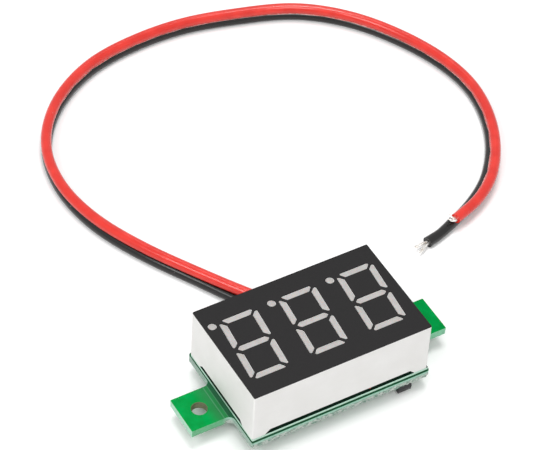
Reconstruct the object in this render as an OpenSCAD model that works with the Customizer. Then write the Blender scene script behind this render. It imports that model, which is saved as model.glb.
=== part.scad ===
// Digital panel meter: a three-digit LED display on a small green circuit board with two
// screw ears, its electronics soldered on the back and a two-wire lead. The meter lies on
// its back. +X runs along the digits, +Y to their tops and +Z out of the display's face.
// The origin is in the middle of the meter's footprint, on the surface it lies on.

/* [Display] */
// Length of the display housing, along the row of digits
display_length = 22.5; // [22.4:0.1:24]
// Width of the display housing
display_width = 14; // [13.6:0.1:16]
// Height of the display's face above the circuit board
display_height = 7.4; // [6.5:0.1:9]
// Height of the vents along the housing's lower edges
vent_height = 0.6; // [0.3:0.1:1]

/* [Digits] */
// Distance from one digit to the next
digit_pitch = 7.49; // [7.4:0.01:7.5]
// Width of a digit across its outer segments
digit_width = 4.65; // [4.4:0.05:4.8]
// Height of a digit
digit_height = 9; // [8.4:0.1:9.4]
// Width of a segment
stroke = 0.64; // [0.56:0.02:0.8]
// Lean of the digits in degrees
digit_slant = 5; // [0:1:6]
// Diameter of a decimal point
point_d = 0.85; // [0.7:0.05:1]

/* [Circuit board] */
// Length of the board between its ears
board_length = 22.9; // [22.9:0.1:24]
// Width of the board
board_width = 14.7; // [14.3:0.1:16]
// Thickness of the board
board_thickness = 1; // [0.8:0.05:1.6]
// Length over both ears
ear_span = 32.9; // [32.4:0.1:34]
// Width of an ear
ear_width = 5.1; // [4:0.1:6]
// Diameter of the screw hole in each ear
ear_hole_d = 1.8; // [1.6:0.1:2.2]
// Distance between the two screw holes
ear_hole_pitch = 28.3; // [27.8:0.1:28.4]
// Gap under the board, set by the display's trimmed pins
board_clearance = 1.8; // [1.75:0.05:2.5]

/* [Trimmer] */
// Side of the calibration trimmer's square base
trimmer_side = 3; // [2.6:0.1:3.2]
// Diameter of its rotor
trimmer_rotor_d = 2.2; // [1.8:0.1:2.4]
// Clearance between the rotor's hub and its bore, on the radius
trimmer_clearance = 0.05; // [0.03:0.01:0.1]

/* [Lead] */
// Outer diameter of one insulated wire
wire_d = 1.3; // [1.2:0.05:1.4]
// Diameter of the bare conductor
conductor_d = 0.48; // [0.4:0.02:0.56]

/* [Hidden] */
DIGITS = [1, 2, 3];
LETTERS = ["a", "b", "c", "d", "e", "f", "g"];
$fn = 48;
// How far a cut runs past what it cuts
over = 1;

// Heights of the stack, from the surface that the meter lies on
board_bottom = board_clearance;
board_top = board_bottom + board_thickness;
display_board_gap = 0.13;
display_board_thickness = 0.32;
display_board_bottom = board_top + display_board_gap;
display_board_top = display_board_bottom + display_board_thickness;
face_z = board_top + display_height;
mask_thickness = 0.12;
housing_top = face_z - mask_thickness;

// Display
housing_corner_r = 0.2;
mask_corner_r = 0.12;
mask_inset = 0.03;
wall = 1;
pocket_height = 1.15;
pocket_corner_r = 0.5;
cell_floor = display_board_top + pocket_height;
vent_end = 0.6;
vent_margin_x = 2.25;
vent_margin_y = 2.7;
cell_rim = 0.07;
segment_corner_r = 0.1;
segment_steps = 3;
guide_proud = 0.04;
half_width = digit_width / 2;
half_height = digit_height / 2;
bar_end_gap = 0.42;
mitre = 0.55;
side_gap = 0.27;
middle_shoulder = 0.8;
middle_swell = 0.01;
// Middle of the row of digits, a little off the middle of the housing
digits_at = [-0.06, 0.06];
point_gap = [0.53, 0.31];
point_offset = [half_width + point_gap.x, point_gap.y - half_height];
die = [0.36, 0.36, 0.2];

// Display pins, two rows of six
pin_pitch = 2.54;
pins_in_row = 6;
pin_row_gap = 10.16;
pin_r = 0.25;
pin_hole_r = 0.4;
pin_head = 0.4;
joint_r = 0.75;
joint_waist_r = 0.42;
joint_tip_r = 0.32;
joint_waist = 0.6;
joint_height = 1.3;

// Outlines of the two boards, and how far their middles are off the display's. The ears
// are off the middle of the main board too, because its long sides are snapped by hand.
display_board_size = [22.6, 14];
display_board_shift = [-0.1, 0];
display_board_corner_r = 0.1;
board_shift = [-0.15, -0.15];
ear_shift = 0.26;
ear_corner_r = 0.12;
ear_root_r = 0.7;
snapped_corner_r = 0.15;
worn_corner_r = 0.4;
board_steps = 6;

// Places of the parts on the back of the board: [x, y, turn]
microcontroller_at = [2.8, 0, 0];
regulator_at = [-9, -0.4, 90];
trimmer_at = [-4.6, 0, 0];
diode_at = [-8.55, 6.4, 0];
resistors_at = [
    for (row = [-2:2]) [8.2, 1.5 * row, 0],
    for (row = [-1:1]) [10.3, 1.9 * row, 90],
    [9.3, -5.9, 0], [9.3, 5.4, 0]
];
capacitors_at = [[-1.75, 0, 90], [-9.2, -5.7, 0], [-9.2, 4.1, 0]];

// Microcontroller in a twenty-lead outline
chip = [6.5, 4.4, 0.9];
chip_standoff = 0.1;
chip_leads = 10;
chip_lead_pitch = 0.65;
chip_lead_w = 0.24;
dimple_inset = 0.8;
dimple_r = 0.35;
dimple_depth = 0.08;
gull = [[0, 0.6], [0, 0.45], [0.2, 0.45], [0.45, 0], [1, 0], [1, 0.15], [0.55, 0.15], [0.3, 0.6]];

// Voltage regulator, protection diode and chip parts
regulator = [4.5, 2.5, 1.5];
regulator_lead = [0.46, 0.9, 0.4];
regulator_lead_pitch = 1.5;
regulator_tab = [1.7, 0.7, 0.4];
diode = [1.8, 1.3, 1.1];
diode_standoff = 0.1;
diode_gull = [[0, 0.55], [0, 0.42], [0.08, 0.42], [0.2, 0], [0.55, 0], [0.55, 0.13],
              [0.3, 0.13], [0.2, 0.55]];
diode_lead_w = 0.7;
resistor = [1.6, 0.8, 0.45];
capacitor = [2, 1.25, 0.85];
end_cap = 0.3;

// Trimmer
trimmer_base_h = 0.75;
trimmer_gap = 0.05;
trimmer_corner_r = 0.3;
trimmer_cap_h = 0.5;
trimmer_hub_r = 0.4;
trimmer_slot = [1.6, 0.36, 0.25];
terminal = [0.7, 0.45, 0.35];
terminal_spread = 0.9;

// Two-wire lead. The wires lie side by side where they leave the board and one on the
// other for the rest of the way. Each point is [x, y, height of the web, lean]: the lean
// is in degrees from standing on edge, towards the left of the way that the lead runs.
web_gap = 1.2;
lead_route = [
    [-2.5, -8.5, 1.45, 90], [0, -12, 1.3, 40], [4, -18.5, 1.25, 12],
    [7.5, -24.5, 1.25, 8], [10.5, -31.5, 1.25, 4], [11.5, -38.5, 1.25, -3],
    [10, -45.5, 1.25, -3], [5.5, -51.5, 1.25, -2], [-1, -55.5, 1.25, 0],
    [-8, -57, 1.25, 4], [-15, -57, 1.25, 6], [-22, -55.5, 1.25, 5],
    [-29, -53, 1.25, 5], [-34.5, -48.5, 1.25, 5], [-38.5, -42.5, 1.25, 4],
    [-41, -36, 1.25, 4], [-41.5, -30, 1.25, -2], [-39.5, -23, 1.24, -17],
    [-35.5, -17.2, 1.15, -38], [-31.5, -14.2, 1.15, -39], [-27.3, -12.4, 1.22, -22]
];
black_tail = [[-25.1, -11.8, 0.65], [-23, -11.3, 0.65]];
wire_sides = 8;
bar_sides = 24;
bunch_r = 0.14;
bunch_gap = 0.32;
bunch_stubs = [0.45, 0.2];
bunch_root = 0.3;
solder_y = -6.55;
// Half section of a joint: [radius, height]
solder_profile = [[0, 0], [0.55, 0], [0.5, 0.35], [0.3, 0.62], [0, 0.7]];

// ---- Helpers ----

function unit(v) = v / norm(v);
function plan(p) = [p.x, p.y];

// One corner of an outline, rounded: corner is [x, y, radius]
function corner_arc(before, corner, after, steps) =
    let (a = unit(plan(before) - plan(corner)), b = unit(plan(after) - plan(corner)),
         half = acos(a * b) / 2, r = corner[2],
         centre = plan(corner) + unit(a + b) * r / sin(half),
         from = plan(corner) + a * r / tan(half) - centre,
         turn = (a.x * b.y - a.y * b.x > 0 ? -1 : 1) * (180 - 2 * half))
    [for (i = [0:steps])
        let (t = turn * i / steps)
        centre + [from.x * cos(t) - from.y * sin(t), from.x * sin(t) + from.y * cos(t)]];

// Outline through [x, y, radius] corners
function rounded(corners, steps = 4) =
    let (n = len(corners))
    [for (i = [0:n - 1])
        each corner_arc(corners[(i + n - 1) % n], corners[i], corners[(i + 1) % n], steps)];

function rectangle(length, width, r) =
    let (x = length / 2, y = width / 2)
    rounded([[x, -y, r], [x, y, r], [-x, y, r], [-x, -y, r]]);

// A convex outline, given counter-clockwise, grown by a margin on every side
function grown(points, margin) =
    let (n = len(points))
    [for (i = [0:n - 1])
        let (p = points[i],
             a = unit(p - points[(i + n - 1) % n]), b = unit(points[(i + 1) % n] - p),
             na = [a.y, -a.x], nb = [b.y, -b.x])
        p + (na + nb) * margin / (1 + na * nb)];

// Stands its children under the board, upside down, at a [x, y, turn] place
module under_board(place) {
    translate([place.x, place.y, board_bottom]) rotate([180, 0, place[2]]) children();
}

// ---- Digits ----

function digit_centre(digit) = digits_at + [(digit - 2) * digit_pitch, 0];

// Corners of each segment of an upright digit, counter-clockwise. Side segments are drawn
// once, as the upper right one, and turned or mirrored into the other three places.
bar_end = half_width - bar_end_gap;
top_bar = [[bar_end, half_height], [-bar_end, half_height],
           [mitre - bar_end, half_height - stroke], [bar_end - mitre, half_height - stroke]];
side_bar = [[half_width, side_gap], [half_width, half_height - side_gap],
            [half_width - stroke, half_height - side_gap - stroke],
            [half_width - stroke, side_gap + stroke]];
shoulder = [half_width - middle_shoulder, stroke / 2 + middle_swell];
middle_bar = [[bar_end, 0], shoulder, [-shoulder.x, shoulder.y],
              [-bar_end, 0], -shoulder, [shoulder.x, -shoulder.y]];

function reversed(points) = [for (i = [len(points) - 1:-1:0]) points[i]];
function flipped_x(points) = reversed([for (p = points) [-p.x, p.y]]);
function flipped_y(points) = reversed([for (p = points) [p.x, -p.y]]);

function segment_corners(letter) =
    letter == "a" ? top_bar :
    letter == "b" ? side_bar :
    letter == "c" ? flipped_y(side_bar) :
    letter == "d" ? flipped_y(top_bar) :
    letter == "e" ? flipped_x(flipped_y(side_bar)) :
    letter == "f" ? flipped_x(side_bar) : middle_bar;

// Slanted outline of one segment, grown by a margin
function segment_outline(letter, margin = 0) =
    let (corners = grown(segment_corners(letter), margin),
         r = segment_corner_r + margin)
    [for (p = rounded([for (c = corners) [c.x, c.y, r]], segment_steps))
        [p.x + p.y * tan(digit_slant), p.y]];

function segment_middle(letter) =
    let (outline = segment_outline(letter), n = len(outline))
    [for (i = [0:n - 1]) 1] * outline / n;

// All the openings over the digits, as prisms from a low height to a high one
module openings(low, high, margin) {
    for (digit = DIGITS) translate([digit_centre(digit).x, digit_centre(digit).y, low]) {
        for (letter = LETTERS)
            linear_extrude(high - low) polygon(segment_outline(letter, margin));
        translate(point_offset) cylinder(h = high - low, r = point_d / 2 + margin);
    }
}

module segment(digit, letter) {
    color([0.80, 0.79, 0.78])
    translate([digit_centre(digit).x, digit_centre(digit).y, cell_floor])
        linear_extrude(housing_top + guide_proud - cell_floor)
            polygon(segment_outline(letter));
}

module decimal_point(digit) {
    color([0.80, 0.79, 0.78])
    translate([digit_centre(digit).x, digit_centre(digit).y, cell_floor])
        translate(point_offset)
            cylinder(h = housing_top + guide_proud - cell_floor, r = point_d / 2);
}

// ---- Display ----

// Trapezoid vent along one wall, wider at the bottom, from the outside into the pocket
module vent(length, reach) {
    half = length / 2;
    translate([0, reach + over, display_board_top]) rotate([90, 0, 0])
        linear_extrude(wall + 2 * over)
            polygon([[-half - vent_end, -over], [half + vent_end, -over],
                     [half + vent_end, 0], [half, vent_height],
                     [-half, vent_height], [-half - vent_end, 0]]);
}

module display_housing() {
    color([0.89, 0.885, 0.87])
    difference() {
        translate([0, 0, display_board_top]) linear_extrude(housing_top - display_board_top)
            polygon(rectangle(display_length, display_width, housing_corner_r));
        translate([0, 0, display_board_top]) linear_extrude(pocket_height)
            polygon(rectangle(display_length - 2 * wall, display_width - 2 * wall,
                              pocket_corner_r));
        for (turn = [0, 180]) rotate(turn)
            vent(display_length - 2 * vent_margin_x, display_width / 2);
        for (turn = [90, 270]) rotate(turn)
            vent(display_width - 2 * vent_margin_y, display_length / 2);
        openings(display_board_top, face_z, 0);
    }
}

module face_mask() {
    color([0.21, 0.205, 0.21])
    difference() {
        translate([0, 0, housing_top]) linear_extrude(mask_thickness)
            polygon(rectangle(display_length - 2 * mask_inset,
                              display_width - 2 * mask_inset, mask_corner_r));
        openings(housing_top - over, face_z + over, cell_rim);
    }
}

module pin_places() {
    for (i = [0:pins_in_row - 1], side = [-1, 1])
        translate([(i - (pins_in_row - 1) / 2) * pin_pitch, side * pin_row_gap / 2, 0])
            children();
}

module display_board() {
    color([0.55, 0.75, 0.66])
    difference() {
        translate([display_board_shift.x, display_board_shift.y, display_board_bottom])
            linear_extrude(display_board_thickness)
                polygon(rectangle(display_board_size.x, display_board_size.y,
                                  display_board_corner_r));
        translate([0, 0, display_board_bottom - over])
            pin_places() cylinder(h = display_board_thickness + 2 * over, r = pin_r);
    }
}

module led_dies() {
    color([0.75, 0.12, 0.10])
    for (digit = DIGITS) translate([digit_centre(digit).x, digit_centre(digit).y, 0]) {
        for (letter = LETTERS)
            translate([segment_middle(letter).x, segment_middle(letter).y, display_board_top]
                      - [die.x, die.y, 0] / 2) cube(die);
        translate([point_offset.x, point_offset.y, display_board_top]
                  - [die.x, die.y, 0] / 2) cube(die);
    }
}

module display_pins() {
    color([0.78, 0.78, 0.76])
    pin_places() cylinder(h = display_board_top + pin_head, r = pin_r);
}

// Solder that fills each pin's hole and stands in a cone around its tail
module pin_solder_joints() {
    color([0.72, 0.73, 0.74])
    pin_places() rotate_extrude()
        polygon([[pin_r, board_bottom - joint_height],
                 [joint_tip_r, board_bottom - joint_height],
                 [joint_waist_r, board_bottom - joint_waist], [joint_r, board_bottom],
                 [pin_hole_r, board_bottom], [pin_hole_r, board_top], [pin_r, board_top]]);
}

// ---- Main board ----

module main_board() {
    x = board_length / 2;
    y = board_width / 2;
    e = ear_width / 2;
    ear = ear_span / 2;
    m = ear_shift;
    outline = [for (s = [1, -1]) each
        [[s * x, -s * y, worn_corner_r], [s * x, m - s * e, ear_root_r],
         [s * ear, m - s * e, ear_corner_r], [s * ear, m + s * e, ear_corner_r],
         [s * x, m + s * e, ear_root_r], [s * x, s * y, snapped_corner_r]]];
    color([0.05, 0.55, 0.31])
    difference() {
        translate([board_shift.x, board_shift.y, board_bottom]) linear_extrude(board_thickness)
            polygon(rounded(outline, board_steps));
        translate([0, 0, board_bottom - over]) {
            for (side = [-1, 1])
                translate([board_shift.x + side * ear_hole_pitch / 2, board_shift.y + m, 0])
                    cylinder(h = board_thickness + 2 * over, r = ear_hole_d / 2);
            pin_places() cylinder(h = board_thickness + 2 * over, r = pin_hole_r);
        }
    }
}

// ---- Parts on the back of the board ----

// A lead bent from a strip: its profile runs outwards along +Y and stands on the board
module bent_lead(profile, width) {
    rotate([90, 0, 90]) translate([0, 0, -width / 2]) linear_extrude(width) polygon(profile);
}

module microcontroller() {
    color([0.11, 0.11, 0.12])
    under_board(microcontroller_at) difference() {
        translate([-chip.x / 2, -chip.y / 2, chip_standoff]) cube(chip);
        translate([dimple_inset - chip.x / 2, dimple_inset - chip.y / 2,
                   chip_standoff + chip.z - dimple_depth]) cylinder(h = over, r = dimple_r);
    }
}

module microcontroller_leads() {
    color([0.75, 0.75, 0.74])
    under_board(microcontroller_at)
        for (i = [0:chip_leads - 1], turn = [0, 180])
            rotate(turn) translate([(i - (chip_leads - 1) / 2) * chip_lead_pitch, chip.y / 2, 0])
                bent_lead(gull, chip_lead_w);
}

module voltage_regulator() {
    color([0.12, 0.12, 0.13])
    under_board(regulator_at) translate([-regulator.x / 2, -regulator.y / 2, 0]) cube(regulator);
}

module regulator_leads() {
    color([0.75, 0.75, 0.74])
    under_board(regulator_at) {
        for (i = [-1:1])
            translate([i * regulator_lead_pitch - regulator_lead.x / 2,
                       -regulator.y / 2 - regulator_lead.y, 0]) cube(regulator_lead);
        translate([-regulator_tab.x / 2, regulator.y / 2, 0]) cube(regulator_tab);
    }
}

module trimmer_base() {
    color([0.93, 0.92, 0.88])
    under_board(trimmer_at) difference() {
        linear_extrude(trimmer_base_h)
            polygon(rectangle(trimmer_side, trimmer_side, trimmer_corner_r));
        translate([0, 0, -over])
            cylinder(h = trimmer_base_h + 2 * over, r = trimmer_hub_r + trimmer_clearance);
    }
}

// Two terminals on one side of the trimmer and one on the other
module trimmer_terminals() {
    color([0.75, 0.75, 0.74])
    under_board(trimmer_at) {
        for (side = [-1, 1])
            translate([side * terminal_spread - terminal.x / 2, trimmer_side / 2, 0])
                cube(terminal);
        translate([-terminal.x / 2, -trimmer_side / 2 - terminal.y, 0]) cube(terminal);
    }
}

// Slotted rotor, turned by a small screwdriver to set the reading
module trimmer_rotor() {
    cap_z = trimmer_base_h + trimmer_gap;
    color([0.80, 0.78, 0.70])
    under_board(trimmer_at) difference() {
        union() {
            translate([0, 0, trimmer_gap])
                cylinder(h = cap_z, r = trimmer_hub_r);
            translate([0, 0, cap_z])
                cylinder(h = trimmer_cap_h, r = trimmer_rotor_d / 2);
        }
        for (turn = [0, 90]) rotate(turn)
            translate([-trimmer_slot.x / 2, -trimmer_slot.y / 2,
                       cap_z + trimmer_cap_h - trimmer_slot.z])
                cube([trimmer_slot.x, trimmer_slot.y, over]);
    }
}

module protection_diode() {
    color([0.12, 0.12, 0.13])
    under_board(diode_at)
        translate([-diode.x / 2, -diode.y / 2, diode_standoff]) cube(diode);
}

module diode_leads() {
    color([0.75, 0.75, 0.74])
    under_board(diode_at) for (turn = [-90, 90])
        rotate(turn) translate([0, diode.x / 2, 0]) bent_lead(diode_gull, diode_lead_w);
}

// Middle of a chip part, between its metal ends
module chip_middle(size) {
    translate([end_cap - size.x / 2, -size.y / 2, 0])
        cube([size.x - 2 * end_cap, size.y, size.z]);
}

module chip_ends(size) {
    for (x = [-size.x / 2, size.x / 2 - end_cap])
        translate([x, -size.y / 2, 0]) cube([end_cap, size.y, size.z]);
}

module chip_resistors() {
    color([0.14, 0.14, 0.15]) for (place = resistors_at) under_board(place) chip_middle(resistor);
}

module resistor_ends() {
    color([0.78, 0.78, 0.77]) for (place = resistors_at) under_board(place) chip_ends(resistor);
}

module chip_capacitors() {
    color([0.70, 0.56, 0.40]) for (place = capacitors_at) under_board(place) chip_middle(capacitor);
}

module capacitor_ends() {
    color([0.78, 0.78, 0.77]) for (place = capacitors_at) under_board(place) chip_ends(capacitor);
}

// ---- Lead ----

// Slope of the route at one point, per millimetre, from its neighbours' distances
function slope(points, i) =
    let (n = len(points), before = points[max(i - 1, 0)], after = points[min(i + 1, n - 1)],
         a = norm(plan(points[i]) - plan(before)), b = norm(plan(after) - plan(points[i])))
    i == 0 ? (after - points[i]) / b :
    i == n - 1 ? (points[i] - before) / a :
    ((points[i] - before) * b / a + (after - points[i]) * a / b) / (a + b);

// Point half way between two route points, on the curve that passes through them all
function half_way(points, i) =
    let (b = norm(plan(points[i + 1]) - plan(points[i])))
    (points[i] + points[i + 1]) / 2 + (slope(points, i) - slope(points, i + 1)) * b / 8;

function smooth(points) =
    [for (i = [0:len(points) - 1])
        each i < len(points) - 1 ? [points[i], half_way(points, i)] : [points[i]]];

lead_points = smooth(lead_route);

function along(i) =
    let (n = len(lead_points))
    unit(plan(lead_points[min(i + 1, n - 1)]) - plan(lead_points[max(i - 1, 0)]));

// Direction from the black wire to the red one at a point of the lead
function stack_axis(i) =
    let (t = along(i), lean = lead_points[i][3])
    [t.y * sin(lean), -t.x * sin(lean), cos(lean)];

// Centre line of one wire: side is 1 for the red wire and -1 for the black one
function wire_path(side) =
    [for (i = [0:len(lead_points) - 1])
        let (p = lead_points[i]) [p.x, p.y, p.z] + stack_axis(i) * side * web_gap / 2];

// A ring of points round the path, with flats facing along the given axis
function ring(centre, direction, axis, r) =
    let (up = unit(axis - direction * (axis * direction)), side = cross(direction, up))
    [for (k = [0:wire_sides - 1])
        let (a = (k + 0.5) * 360 / wire_sides)
        centre + (up * cos(a) + side * sin(a)) * r];

module wire(path, axes, r = wire_d / 2) {
    n = len(path);
    points = [for (i = [0:n - 1])
        each ring(path[i], unit(path[min(i + 1, n - 1)] - path[max(i - 1, 0)]), axes[i], r)];
    walls = [for (i = [0:n - 2], k = [0:wire_sides - 1])
        let (a = i * wire_sides + k, b = i * wire_sides + (k + 1) % wire_sides)
        [a, a + wire_sides, b + wire_sides, b]];
    ends = [[for (k = [0:wire_sides - 1]) k],
            [for (k = [wire_sides - 1:-1:0]) (n - 1) * wire_sides + k]];
    polyhedron(points, concat(walls, ends));
}

red_path = wire_path(1);
black_path = concat(wire_path(-1), black_tail);
axes = [for (i = [0:len(lead_points) - 1]) stack_axis(i)];

module red_lead() {
    color([0.93, 0.20, 0.16]) wire(red_path, axes);
}

module black_lead() {
    color([0.13, 0.13, 0.13]) wire(black_path, concat(axes, [for (p = black_tail) [0, 0, 1]]));
}

// A round bar from one point to another
module bar(from, to, r) {
    v = to - from;
    translate(from) rotate([0, acos(v.z / norm(v)), atan2(v.y, v.x)])
        cylinder(h = norm(v), r = r, $fn = bar_sides);
}

// Where a wire's bare start meets its solder joint, straight back along the wire
function solder_place(path) =
    let (back = path[0] - path[1], d = back / (back.y))
    path[0] + [d.x, 1, 0] * (solder_y - path[0].y);

module lead_solder_joints() {
    color([0.72, 0.73, 0.74])
    for (path = [red_path, black_path])
        under_board([solder_place(path).x, solder_place(path).y, 0])
            rotate_extrude() polygon(solder_profile);
}

// Bare end of a wire, split into two bunches of strands. They leave it side by side, then
// bend towards their own headings, which are in degrees from +X in plan.
module split_strands(path, headings, reach, rise) {
    n = len(path);
    end = path[n - 1];
    out = unit(end - path[n - 2]);
    left = [-out.y, out.x, 0];
    for (i = [0, 1]) {
        root = end + left * (1 - 2 * i) * bunch_gap / 2;
        bend = root + out * bunch_stubs[i];
        tip = bend + [cos(headings[i]), sin(headings[i]), rise] * reach;
        wire([root - out * bunch_root, bend, tip], [for (k = [0:2]) [0, 0, 1]], bunch_r);
    }
}

module red_conductor() {
    color([0.80, 0.80, 0.79]) {
        bar(red_path[0], solder_place(red_path), conductor_d / 2);
        split_strands(red_path, [-35, -62], 0.7, 0.3);
    }
}

module black_conductor() {
    color([0.80, 0.80, 0.79]) {
        bar(black_path[0], solder_place(black_path), conductor_d / 2);
        split_strands(black_path, [32, 4], 1.5, 0);
    }
}

// ---- The parts ----

display_housing();
face_mask();
display_board();
led_dies();
display_pins();
pin_solder_joints();
main_board();
microcontroller();
microcontroller_leads();
voltage_regulator();
regulator_leads();
trimmer_base();
trimmer_terminals();
trimmer_rotor();
protection_diode();
diode_leads();
chip_resistors();
resistor_ends();
chip_capacitors();
capacitor_ends();
lead_solder_joints();
red_lead();
black_lead();
red_conductor();
black_conductor();
for (digit = DIGITS) {
    for (letter = LETTERS)
        segment(digit, letter);
    decimal_point(digit);
}
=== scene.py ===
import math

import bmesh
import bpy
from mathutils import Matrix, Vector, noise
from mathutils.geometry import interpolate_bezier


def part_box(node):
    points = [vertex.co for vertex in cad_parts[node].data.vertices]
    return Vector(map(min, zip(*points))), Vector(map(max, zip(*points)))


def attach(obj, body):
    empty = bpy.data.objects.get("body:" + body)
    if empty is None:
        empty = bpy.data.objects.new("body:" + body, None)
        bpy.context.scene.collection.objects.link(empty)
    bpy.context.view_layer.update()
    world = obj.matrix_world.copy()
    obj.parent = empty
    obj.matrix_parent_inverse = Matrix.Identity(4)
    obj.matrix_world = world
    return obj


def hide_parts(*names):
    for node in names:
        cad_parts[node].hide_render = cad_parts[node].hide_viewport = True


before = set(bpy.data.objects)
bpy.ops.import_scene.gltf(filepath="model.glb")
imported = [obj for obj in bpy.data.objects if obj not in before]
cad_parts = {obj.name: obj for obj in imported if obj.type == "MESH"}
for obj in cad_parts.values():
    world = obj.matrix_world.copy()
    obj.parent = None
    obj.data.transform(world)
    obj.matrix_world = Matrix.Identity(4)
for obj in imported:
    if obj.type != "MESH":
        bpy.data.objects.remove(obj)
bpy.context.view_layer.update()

# %% [markdown]
# # A small digital panel meter
#
# The meter is a white display housing on a green circuit board, with its electronics
# soldered underneath and a red and black lead. The CAD model already has the right shapes
# and sizes, and it is loaded above as a fixed frame. This script gives each part its
# finish, and swaps the few parts whose real shape is soft or ragged, such as the lead,
# the solder and the snapped edge of the board, for modelled pieces in the same places.
#
# Lengths on the real meter are in millimetres and Blender's scene is in metres, so two
# small helpers turn one into the other. Two more add an object and aim it.

MM = 0.001


def mm(x, y, z):
    """A point in millimetres, as a Blender vector in metres."""
    return Vector((x, y, z)) * MM


def add(name, data):
    """Puts a new object with some data, such as a mesh or a lamp, into the scene."""
    obj = bpy.data.objects.new(name, data)
    bpy.context.scene.collection.objects.link(obj)
    return obj


def looking(place, aim):
    """Matrix of a camera or a lamp that stands at a place and looks at a point."""
    turn = (aim - place).to_track_quat("-Z", "Y")
    return Matrix.Translation(place) @ turn.to_matrix().to_4x4()


def box_mm(node):
    """Lowest and highest corner of a CAD part, in millimetres."""
    return [Vector(corner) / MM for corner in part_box(node)]


# The circuit board is mounted a little off the middle of the display
board_low, board_high = box_mm("main_board")
BOARD_SHIFT = round((board_low.x + board_high.x) / 2, 3)
print("board", board_low[:], board_high[:])

# %% [markdown]
# ## Camera
#
# The meter lies face up and is seen from above one corner, from about a third of a metre
# away, with a long lens that keeps its edges nearly parallel. A camera could be turned by
# three angles, but it is easier to read as a place to look at, a direction to stand in and
# a distance. The small roll is the tilt of the hand-held camera.

# %% Camera
LOOK_AT = mm(-5.63, -18.77, 5.0)
AZIMUTH = math.radians(147.6)
ELEVATION = math.radians(46.33)
DISTANCE = 320.7 * MM
ROLL = math.radians(3.72)
FOCAL_LENGTH = 184.2

stand = Vector((math.sin(AZIMUTH) * math.cos(ELEVATION),
                -math.cos(AZIMUTH) * math.cos(ELEVATION), math.sin(ELEVATION)))
lens = bpy.data.cameras.new("camera")
lens.lens = FOCAL_LENGTH
lens.sensor_width = 36
lens.clip_start = 0.01
camera = add("camera", lens)
camera.matrix_world = (looking(LOOK_AT + stand * DISTANCE, LOOK_AT)
                       @ Matrix.Rotation(ROLL, 4, "Z"))
bpy.context.scene.camera = camera
print("camera at", [round(c, 4) for c in camera.matrix_world.translation])

# %% [markdown]
# ## Route of the lead
#
# The lead is a flat pair of insulated wires, moulded side by side like a miniature lamp
# flex. It leaves the board flat, turns on edge, and lies in one wide loop with the red
# wire on top. A wire with some stiffness always takes a smooth curve, so a route of a few
# points is enough, with a curve through them. Each point is the place of the web between
# the two wires, in millimetres, and the lean of the pair from standing on edge, in degrees.

# %% Route points
LEAD_ROUTE = [
    (-2.5, -8.5, 1.45, 90), (0, -12, 1.3, 40), (4, -18.5, 1.25, 12), (7.5, -24.5, 1.25, 8),
    (10.5, -31.5, 1.25, 4), (11.5, -38.5, 1.25, -3), (10, -45.5, 1.25, -3),
    (5.5, -51.5, 1.25, -2), (-1, -55.5, 1.25, 0), (-8, -57, 1.25, 4), (-15, -57, 1.25, 6),
    (-22, -55.5, 1.25, 5), (-29, -53, 1.25, 5), (-34.5, -48.5, 1.25, 5),
    (-38.5, -42.5, 1.25, 4), (-41, -36, 1.25, 4), (-41.5, -30, 1.25, -2),
    (-39.5, -23, 1.24, -17), (-35.5, -17.2, 1.15, -38), (-31.5, -14.2, 1.15, -39),
    (-27.3, -12.4, 1.22, -22)]
BLACK_TAIL = [(-25.1, -11.8, 0.65), (-23, -11.3, 0.65)]
WEB_GAP = 1.2
WIRE_D = 1.3


def plan(point):
    return Vector((point[0], point[1]))


def slope(points, i):
    """Change of place, height and lean for each millimetre along the route."""
    before, here, after = points[max(i - 1, 0)], points[i], points[min(i + 1, len(points) - 1)]
    a, b = (plan(here) - plan(before)).length, (plan(after) - plan(here)).length
    if i == 0:
        return (after - here) / b
    if i == len(points) - 1:
        return (here - before) / a
    return ((here - before) * b / a + (after - here) * a / b) / (a + b)


def smooth(points):
    """The route with one more point half way along each stretch, on the same curve."""
    result = []
    for i, point in enumerate(points[:-1]):
        b = (plan(points[i + 1]) - plan(point)).length
        result += [point, (point + points[i + 1]) / 2
                   + (slope(points, i) - slope(points, i + 1)) * b / 8]
    return result + [points[-1]]


web_route = smooth([Vector(point) for point in LEAD_ROUTE])


def stack_axis(i):
    """Direction from the black wire to the red one at a point of the route."""
    ahead, behind = web_route[min(i + 1, len(web_route) - 1)], web_route[max(i - 1, 0)]
    along = (plan(ahead) - plan(behind)).normalized()
    lean = math.radians(web_route[i][3])
    return Vector((along.y * math.sin(lean), -along.x * math.sin(lean), math.cos(lean)))


def wire_path(side):
    """Centre line of one wire, in millimetres: side is 1 for red and -1 for black."""
    return [Vector(p[:3]) + stack_axis(i) * side * WEB_GAP / 2
            for i, p in enumerate(web_route)]


red_path = wire_path(1)
black_path = wire_path(-1) + [Vector(p) for p in BLACK_TAIL]
print("route points:", len(web_route), "red starts at", red_path[0][:])

# %% [markdown]
# ## The two insulated wires
#
# A wire could be a swept mesh, but a Bezier curve with a round bevel is the natural tool:
# it stays smooth, it has a true centre line and its handles can carry the route's own
# slopes. The black wire is a little thinner just before its stripped end and flares at
# it, because the insulation stretches before the stripping tool tears it off.

# %% Insulated wires
MEASURED_POINTS = 33


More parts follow.
